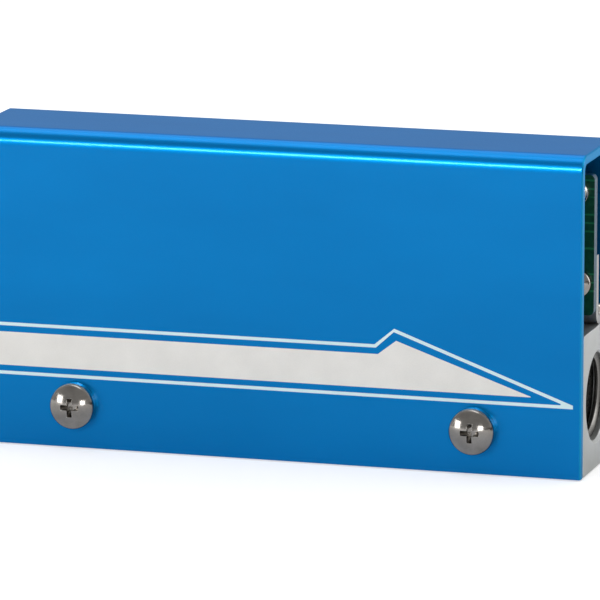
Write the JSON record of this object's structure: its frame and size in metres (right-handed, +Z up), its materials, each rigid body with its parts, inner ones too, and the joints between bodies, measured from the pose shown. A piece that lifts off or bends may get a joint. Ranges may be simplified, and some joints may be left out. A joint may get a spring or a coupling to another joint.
{
  "type": "thermal mass flow meter",
  "caption": "Inline gas flow meter: tapped aluminium flow block with bypass and capillary sensor, circuit board and blue folded cover.",
  "frame": {"origin": "middle of the underside, on the resting plane", "axes": "+X the way the gas flows, from inlet to outlet; -Y the front face with the flow arrow; +Z up"},
  "size_m": [0.0944, 0.0252, 0.048],
  "materials": {
    "anodised_blue": "satin",
    "polished_steel": "polished",
    "machined_aluminium": "satin",
    "fluted_steel": "satin",
    "spring_steel": "satin",
    "brushed_steel": "satin",
    "black_rubber": "matte",
    "enamelled_wire": "satin",
    "lead_wire": "satin",
    "black_steel": "satin",
    "circuit_board": "satin",
    "zinc_steel": "satin",
    "white_nylon": "satin",
    "tinned_pins": "polished",
    "black_chip": "satin",
    "black_base": "matte",
    "can_aluminium": "satin",
    "can_metal": "polished",
    "grey_ferrite": "matte",
    "chip_parts": "satin",
    "chip_ceramic": "satin"
  },
  "bodies": {
    "root": {"cover": "anodised_blue", "cover_screws": "polished_steel", "flow_block": "machined_aluminium", "bypass_element": "fluted_steel", "inlet_screen": "fluted_steel", "retaining_ring": "spring_steel", "sensor_base": "brushed_steel", "sensor_seals": "black_rubber", "sensor_tube": "brushed_steel", "upstream_winding": "enamelled_wire", "downstream_winding": "enamelled_wire", "sensor_leads": "lead_wire", "sensor_cap": "brushed_steel", "sensor_screws": "black_steel", "circuit_board": "circuit_board", "inlet_bracket": "zinc_steel", "outlet_bracket": "zinc_steel", "bracket_screws": "polished_steel", "board_screws": "polished_steel", "connector_shell": "white_nylon", "connector_pins": "tinned_pins", "controller_chip": "black_chip", "amplifier_chips": "black_chip", "voltage_regulator": "black_chip", "capacitor_bases": "black_base", "capacitor_cans": "can_aluminium", "crystal": "can_metal", "power_inductor": "grey_ferrite", "chip_resistors": "chip_parts", "chip_capacitors": "chip_ceramic"}
  },
  "joints": []
}
